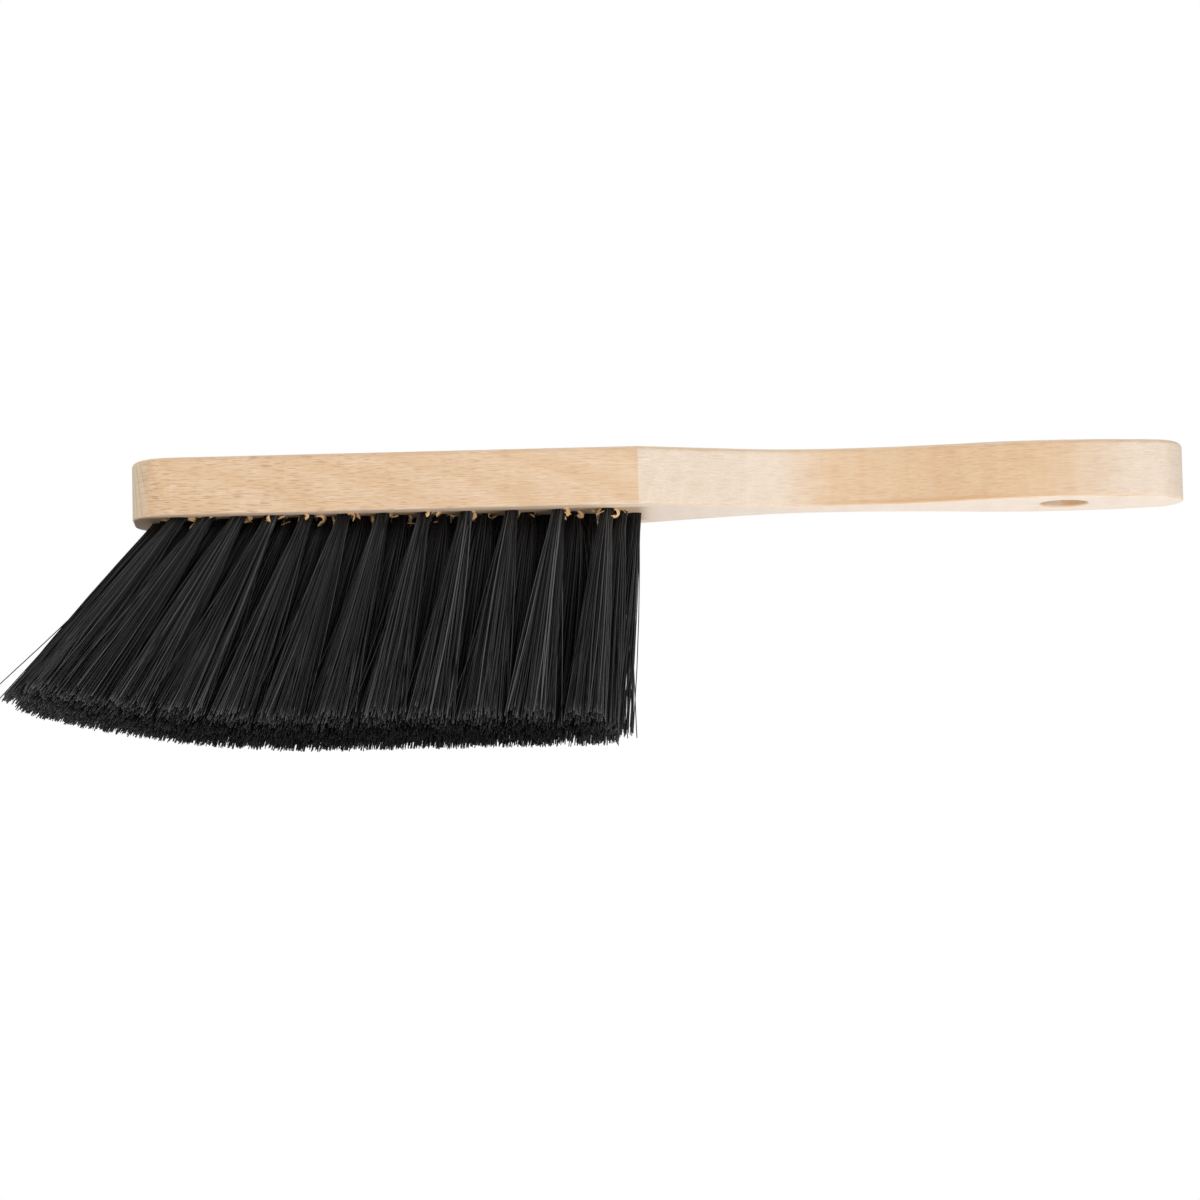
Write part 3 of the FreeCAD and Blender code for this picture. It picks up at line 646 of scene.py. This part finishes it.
def sanded_beech():
    material, tree, shader = new_material("sanded_beech")
    # A flat face keeps its own direction, also beside the rim of a hole.
    facing = tree.nodes.new("ShaderNodeNewGeometry").outputs
    steep = axes_of(tree, facing["True Normal"])["Z"]
    flat = window(tree, calc(tree, "ABSOLUTE", steep), 0.985, 0.995)
    normal = blend_colour(tree, flat, facing["Normal"], facing["True Normal"])
    facing_axes = axes_of(tree, normal)
    nx, nz = facing_axes["X"], facing_axes["Z"]
    on_side = window(tree, calc(tree, "ABSOLUTE", nz), 0.6, 0.3)
    level = window(tree, calc(tree, "ABSOLUTE", nz), 0.7, 0.98)
    ray_strength = calc(tree, "SUBTRACT", 0.85, calc(tree, "MULTIPLY", level, 0.73))
    figure, coordinates = place_beech(tree, RING_GAP, BEECH_PALE, BEECH_TAN, ray_strength)
    x, y, z = axes_of(tree, vec(tree, "SCALE", coordinates["Object"], PER_MM))
    # Painted sheen on the faces that look straight up or down, half as strong on the block's underside,
    # where the bristles shade it.
    below = calc(tree, "MULTIPLY", window(tree, nz, -0.5, -0.9), window(tree, x, *SHADED_BELOW))
    lit = calc(tree, "SUBTRACT", 1.0, calc(tree, "MULTIPLY", below, 0.5))
    painted_sheen = calc(tree, "MULTIPLY", level, lit)
    # Painted highlight on the side faces that turn to the right, such as the slope of the neck.
    lit_slope = calc(tree, "MULTIPLY", window(tree, nx, -0.06, 0.2), on_side)
    # Painted shade on the side faces that turn to the left, such as the back of the handle's swell.
    shaded_swell = calc(tree, "MULTIPLY", window(tree, nx, -0.02, -0.2), on_side)
    end = calc(tree, "MULTIPLY", window(tree, nx, -0.45, -0.9), on_side)
    above = calc(tree, "SUBTRACT", z, underside / MM)
    edge = calc(tree, "MULTIPLY", window(tree, above, *EDGE_RISE), window(tree, x, *EDGE_STARTS))
    edge = calc(tree, "MULTIPLY", edge, window(tree, x, *EDGE_STOPS))
    edge = calc(tree, "MULTIPLY", edge, window(tree, nz, -0.97, -0.85))
    grip = calc(tree, "MULTIPLY", window(tree, x, *GRIP_STARTS), window(tree, x, *GRIP_STOPS))
    grip = calc(tree, "MULTIPLY", grip, on_side)
    lines = calc(tree, "MULTIPLY", end, figure["Ring Lines"])
    # Painted shade on the block's underside among the tufts.
    field_shade = calc(tree, "MULTIPLY", window(tree, nz, -0.9, -0.99), window(tree, x, *FIELD_STOPS))
    field_shade = calc(tree, "MULTIPLY", field_shade, window(tree, calc(tree, "ABSOLUTE", y), *FIELD_SIDES))
    colour = figure["Color"]
    for share, tint, kind in (
        (painted_sheen, BEECH_PAINTED_SHEEN, "ADD"),
        (lit_slope, BEECH_SLOPE_HIGHLIGHT, "ADD"),
        (calc(tree, "MULTIPLY", shaded_swell, 0.5), BEECH_HANDLE_TAN_AND_SHADE, "MULTIPLY"),
        (grip, BEECH_HANDLE_TAN_AND_SHADE, "MULTIPLY"),
        (calc(tree, "MULTIPLY", end, 0.65), BEECH_END, "MIX"),
        (calc(tree, "MULTIPLY", lines, 0.6), BEECH_LINE, "MIX"),
        (calc(tree, "MULTIPLY", edge, 0.55), BEECH_EDGE, "MIX"),
        (calc(tree, "MULTIPLY", field_shade, 0.7), BEECH_FIELD_SHADE, "MIX"),
    ):
        colour = blend_colour(tree, share, colour, tint, kind)
    feed(tree, shader.inputs["Base Color"], colour)
    shader.inputs["Roughness"].default_value = 0.6
    shader.inputs["Specular IOR Level"].default_value = 0.35
    bump = {"Strength": 0.25, "Distance": 0.12 * MM, "Height": figure["Height"], "Normal": normal}
    feed(tree, shader.inputs["Normal"], add(tree, "ShaderNodeBump", bump))
    return material


def torn_beech():
    material, tree, shader = new_material("torn_beech")
    figure, coordinates = place_beech(tree, CURL_RING_GAP, BEECH_CURL, BEECH_TORN, 0.4)
    feed(tree, shader.inputs["Base Color"], figure["Color"])
    shader.inputs["Roughness"].default_value = 0.7
    return material


def black_bristle():
    material, tree, shader = new_material("black_bristle")
    shade = add(tree, "ShaderNodeAttribute", out="Fac", attribute_name="shade")
    cut_end = add(tree, "ShaderNodeAttribute", out="Fac", attribute_name="cut_end")
    tip = add(tree, "ShaderNodeAttribute", out="Fac", attribute_name="tip")
    bright = calc(tree, "POWER", shade, 6.0)
    colour = blend_colour(tree, bright, BRISTLE_DARK, BRISTLE_LIGHT)
    worn = calc(tree, "MULTIPLY", tip, shade)
    colour = blend_colour(tree, calc(tree, "MAXIMUM", worn, cut_end), colour, BRISTLE_CUT)
    feed(tree, shader.inputs["Base Color"], colour)
    rough = calc(tree, "SUBTRACT", 0.44, calc(tree, "MULTIPLY", shade, 0.16))
    feed(tree, shader.inputs["Roughness"], rough)
    shader.inputs["Specular IOR Level"].default_value = 0.36
    return material


def drawn_wire():
    material, tree, shader = new_material("drawn_wire")
    place = add(tree, "ShaderNodeTexCoord", out="Object")
    scratches = stretched_noise(tree, vec(tree, "SCALE", place, PER_MM), (0.4, 6.0, 6.0), 2.0)
    colour = blend_colour(tree, scratches, WIRE_DARK, WIRE_LIGHT)
    feed(tree, shader.inputs["Base Color"], colour)
    shader.inputs["Metallic"].default_value = 1.0
    rough = calc(tree, "ADD", 0.25, calc(tree, "MULTIPLY", scratches, 0.2))
    feed(tree, shader.inputs["Roughness"], rough)
    return material


def dress(name, material):
    """Gives a node of the frame its finish."""
    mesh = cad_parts[name].data
    mesh.materials.clear()
    mesh.materials.append(material)


dress("wooden_body", sanded_beech())
dress("wire_anchors", drawn_wire())
bristle_black = black_bristle()
print("finishes:", sorted(material.name for material in bpy.data.materials))

# %% [markdown]
# ## Growing the five rows
#
# Each row becomes one plain mesh. The modifier's inputs are set before the tree is first run, the
# result is copied out as a mesh, and the seats and their modifier are dropped.

# %% Make the bristles
CUT = {
    "Flat Place": -72 * MM,
    "Nose Bend": 330 * MM,
    "Crown Flat": 12 * MM,
    "Crown Bend": 85 * MM,
}
FAN = {
    "Bristles": 180,
    "Thickness": 0.3 * MM,
    "Root Radius": 1.75 * MM,
    "Tip Length": 13.0 * MM,
    "Tip Width": 12.2 * MM,
    "Hidden Length": 5.0 * MM,
    **CUT,
    "Collar": 0.06,
    "Inner Flare": 0.5,
    "Side Limit": 0.88,
    "Jitter": 0.13,
    "Clump": 0.75,
    "Ragged": 0.045,
    "Clump Ragged": 0.03,
    "Stray Share": 0.04,
    "Stray Reach": 2.0,
    "Bow": 4.0 * MM,
    "Brightest With Painted Shade": 1.0,
}
# The hidden rows get a lower brightest bristle colour: painted shade for rows that lie behind the outer
# ones.
HIDDEN_FAN = {**FAN, "Tip Width": 14.4 * MM, "Side Limit": 1.05, "Brightest With Painted Shade": 0.8}


def run_tree(mesh, tree, settings, name):
    """Runs a geometry tree on a mesh and returns the result as a new plain object."""
    carrier = bpy.data.objects.new(f"{name}_seats", mesh)
    bpy.context.scene.collection.objects.link(carrier)
    modifier = carrier.modifiers.new(name, "NODES")
    modifier.node_group = tree
    for item in tree.interface.items_tree:
        if item.item_type == "SOCKET" and item.in_out == "INPUT" and item.name in settings:
            modifier[item.identifier] = settings[item.name]
    evaluated = carrier.evaluated_get(bpy.context.evaluated_depsgraph_get())
    made = bpy.data.meshes.new_from_object(evaluated)
    made.name = name
    carrier.modifiers.remove(modifier)
    bpy.data.objects.remove(carrier)
    piece = bpy.data.objects.new(name, made)
    bpy.context.scene.collection.objects.link(piece)
    return piece


for seed, row in enumerate(ROWS, start=11):
    names, mesh = seats[row]
    fan = FAN if "outer" in row else HIDDEN_FAN
    settings = {**fan, "Seed": seed, "Material": bristle_black}
    bristles = run_tree(mesh, bristle_row, settings, f"bristles_{row}")
    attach(bristles, "root")
    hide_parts(*names)
    sides = sum(len(face.vertices) - 2 for face in bristles.data.polygons)
    print(bristles.name, sides, "triangles")

# %% [markdown]
# ## Torn wood at the holes
#
# A drill that leaves beech fast tears the last fibres instead of cutting them. They stay at the rim
# as small curls, most of them on the handle's side, where the drill came out of the slanted hole.
# One tree sets a few curls at every hole but those of the hidden middle row: a short spiral
# ribbon, turned and scaled by chance.

# %% The curls
TURN = 2 * math.pi


def curl_group():
    lengths = ("Rim Radius", "Rim Depth", "Curl Radius", "Ribbon Width", "Ribbon Thickness")
    inputs = {
        "Geometry": "Geometry",
        "Curls": "Int",
        "Share": "Float",
        **{label: "Float" for label in lengths},
        "Seed": "Int",
        "Material": "Material",
    }
    tree, given = new_group("drill_curls", "GeometryNodeTree", inputs, {"Geometry": "Geometry"})
    seed = given["Seed"]
    copies = tree.nodes.new("GeometryNodeDuplicateElements")
    copies.domain = "POINT"
    feed(tree, copies.inputs["Geometry"], given["Geometry"])
    feed(tree, copies.inputs["Amount"], given["Curls"])
    number = copies.outputs["Duplicate Index"]

    # The first curl of a hole sits on the handle's side, the others anywhere round the rim.
    is_first = calc(tree, "LESS_THAN", number, 0.5)
    near = chance(tree, seed, 1, -1.2, 0.1)
    anywhere = chance(tree, seed, 2, 0.0, TURN)
    other = calc(tree, "MULTIPLY", calc(tree, "SUBTRACT", 1.0, is_first), anywhere)
    angle = calc(tree, "ADD", calc(tree, "MULTIPLY", is_first, near), other)
    kept = calc(tree, "LESS_THAN", chance(tree, seed, 3, 0.0, 1.0), given["Share"])
    kept = calc(tree, "MAXIMUM", kept, is_first)
    lean = calc(tree, "MULTIPLY", axes_of(tree, named(tree, "axis"))["Z"], -1.0)
    ahead = calc(tree, "DIVIDE", calc(tree, "COSINE", angle), lean)
    rim = add(tree, "ShaderNodeCombineXYZ", {0: ahead, 1: calc(tree, "SINE", angle), 2: 0.0})
    rim = vec(tree, "SCALE", rim, given["Rim Radius"])
    depth = add(tree, "ShaderNodeCombineXYZ", {0: 0.0, 1: 0.0, 2: given["Rim Depth"]})
    moved = {"Geometry": copies.outputs["Geometry"], "Offset": vec(tree, "ADD", rim, depth)}
    points = add(tree, "GeometryNodeSetPosition", moved)

    # One curl: a flat ribbon that winds down from where it is still joined to the wood.
    start = calc(tree, "MULTIPLY", given["Curl Radius"], 0.9)
    spiral = {
        "Resolution": 9,
        "Rotations": 0.9,
        "Start Radius": start,
        "End Radius": calc(tree, "MULTIPLY", given["Curl Radius"], 0.45),
        "Height": calc(tree, "MULTIPLY", given["Curl Radius"], 1.6),
    }
    ribbon = add(tree, "GeometryNodeCurveSpiral", spiral)
    sizes = {"Width": given["Ribbon Thickness"], "Height": given["Ribbon Width"]}
    section = add(tree, "GeometryNodeCurvePrimitiveQuadrilateral", sizes)
    swept = {"Curve": ribbon, "Profile Curve": section, "Fill Caps": True}
    curl = add(tree, "GeometryNodeCurveToMesh", swept)
    back = add(tree, "ShaderNodeCombineXYZ", {0: calc(tree, "MULTIPLY", start, -1.0), 1: 0.0, 2: 0.0})
    curl = add(tree, "GeometryNodeTransform", {"Geometry": curl, "Translation": back})

    spans = ((2.0, 4.2), (-0.9, 0.9), (0.0, TURN), (0.6, 1.3), (0.6, 1.3), (0.5, 1.6))
    drawn = [chance(tree, seed, 4 + number, *span) for number, span in enumerate(spans)]
    tilt = add(tree, "ShaderNodeCombineXYZ", dict(enumerate(drawn[:3])))
    stretch = add(tree, "ShaderNodeCombineXYZ", dict(enumerate(drawn[3:])))
    inputs = {"Points": points, "Selection": kept, "Instance": curl, "Rotation": tilt, "Scale": stretch}
    curls = add(tree, "GeometryNodeInstanceOnPoints", inputs)
    curls = add(tree, "GeometryNodeRealizeInstances", {"Geometry": curls})
    curls = add(tree, "GeometryNodeSetMaterial", {"Geometry": curls, "Material": given["Material"]})
    close_group(tree, {"Geometry": curls})
    return tree


def open_seats():
    """The mouths of the holes that can be seen past the tufts, in one mesh."""
    meshes = [mesh for row, (names, mesh) in seats.items() if row != "middle"]
    mesh = bpy.data.meshes.new("open_seats")
    mesh.from_pydata([corner.co for row in meshes for corner in row.vertices], [], [])
    axes = [entry.vector for row in meshes for entry in row.attributes["axis"].data]
    layer = mesh.attributes.new("axis", "FLOAT_VECTOR", "POINT")
    layer.data.foreach_set("vector", np.array(axes, np.float32).ravel())
    return mesh


CURLS = {
    "Curls": 4,
    "Share": 0.4,
    "Rim Radius": 2.25 * MM,
    "Rim Depth": 0.15 * MM,
    "Curl Radius": 1.2 * MM,
    "Ribbon Width": 1.2 * MM,
    "Ribbon Thickness": 0.1 * MM,
    "Seed": 5,
    "Material": torn_beech(),
}
burrs = run_tree(open_seats(), curl_group(), CURLS, "drill_burrs")
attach(burrs, "root")
print(burrs.name, len(burrs.data.polygons), "faces")

# %% [markdown]
# ## Light, floor and camera
#
# The broom stands on a pale floor under a soft light. The camera looks up at it from below the
# floor, so the floor is made one-sided: solid and shaded from above, and clear from below.

# %% Floor and surroundings


def pale_floor():
    mesh = bpy.data.meshes.new("floor")
    reach = 6.0
    corners = [(-reach, -reach, 0), (reach, -reach, 0), (reach, reach, 0), (-reach, reach, 0)]
    mesh.from_pydata(corners, [], [(0, 1, 2, 3)])
    floor = bpy.data.objects.new("floor", mesh)
    bpy.context.scene.collection.objects.link(floor)
    material, tree, shader = new_material("pale_floor")
    shader.inputs["Base Color"].default_value = (0.86, 0.86, 0.86, 1)
    shader.inputs["Roughness"].default_value = 0.9
    shader.inputs["Specular IOR Level"].default_value = 0.0
    clear = tree.nodes.new("ShaderNodeBsdfTransparent")
    below = add(tree, "ShaderNodeNewGeometry", out="Backfacing")
    mixed = add(tree, "ShaderNodeMixShader", {0: below, 1: shader.outputs[0], 2: clear.outputs[0]})
    feed(tree, tree.nodes["Material Output"].inputs["Surface"], mixed)
    mesh.materials.append(material)
    floor.visible_shadow = False
    return floor


def white_surroundings(strength):
    world = bpy.data.worlds.new("white_surroundings")
    world.use_nodes = True
    bpy.context.scene.world = world
    tree = world.node_tree
    light = tree.nodes["Background"]
    light.inputs["Color"].default_value = (1, 1, 1, 1)
    path = tree.nodes.new("ShaderNodeLightPath")
    seen = path.outputs["Is Camera Ray"]
    for ray in ("Is Glossy Ray", "Is Transmission Ray"):
        seen = calc(tree, "MAXIMUM", seen, path.outputs[ray])
    dim = calc(tree, "MULTIPLY", calc(tree, "SUBTRACT", 1.0, seen), strength)
    feed(tree, light.inputs["Strength"], calc(tree, "ADD", dim, seen))


def soft_lamp(name, place, target, size, power):
    lamp = bpy.data.lights.new(name, "AREA")
    lamp.shape = "DISK"
    lamp.size = size
    lamp.energy = power
    holder = bpy.data.objects.new(name, lamp)
    holder.location = place
    holder.rotation_mode = "QUATERNION"
    holder.rotation_quaternion = (Vector(target) - Vector(place)).to_track_quat("-Z", "Y")
    bpy.context.scene.collection.objects.link(holder)


pale_floor()
white_surroundings(0.64)
MIDDLE = (0, 0, 0.05)
soft_lamp("key", (1.1, -1.3, 0.6), MIDDLE, 0.6, 3.7)
soft_lamp("fill", (-1.2, -1.2, 0.4), MIDDLE, 0.8, 4.2)
soft_lamp("top", (0.0, -0.4, 1.5), MIDDLE, 0.9, 2.8)
soft_lamp("low", (0.2, -0.5, -1.3), MIDDLE, 0.9, 12)
print("lamps:", [light.name for light in bpy.data.lights])

# %% Camera
CAMERA_DISTANCE = 2.2
CAMERA_BELOW = math.radians(8.2)
CAMERA_ROLL = math.radians(-1.28)
CAMERA_LENS = 239.3
AIM = Vector((0.0006, 0, 0.0386))


def photo_camera():
    data = bpy.data.cameras.new("camera")
    data.lens = CAMERA_LENS
    data.sensor_width = 36
    holder = bpy.data.objects.new("camera", data)
    ahead = Vector((0, math.cos(CAMERA_BELOW), math.sin(CAMERA_BELOW)))
    holder.location = AIM - ahead * CAMERA_DISTANCE
    holder.rotation_mode = "QUATERNION"
    roll = Quaternion((0, 0, 1), CAMERA_ROLL)
    holder.rotation_quaternion = ahead.to_track_quat("-Z", "Y") @ roll
    bpy.context.scene.collection.objects.link(holder)
    bpy.context.scene.camera = holder


photo_camera()
bpy.context.scene.view_settings.view_transform = "Standard"
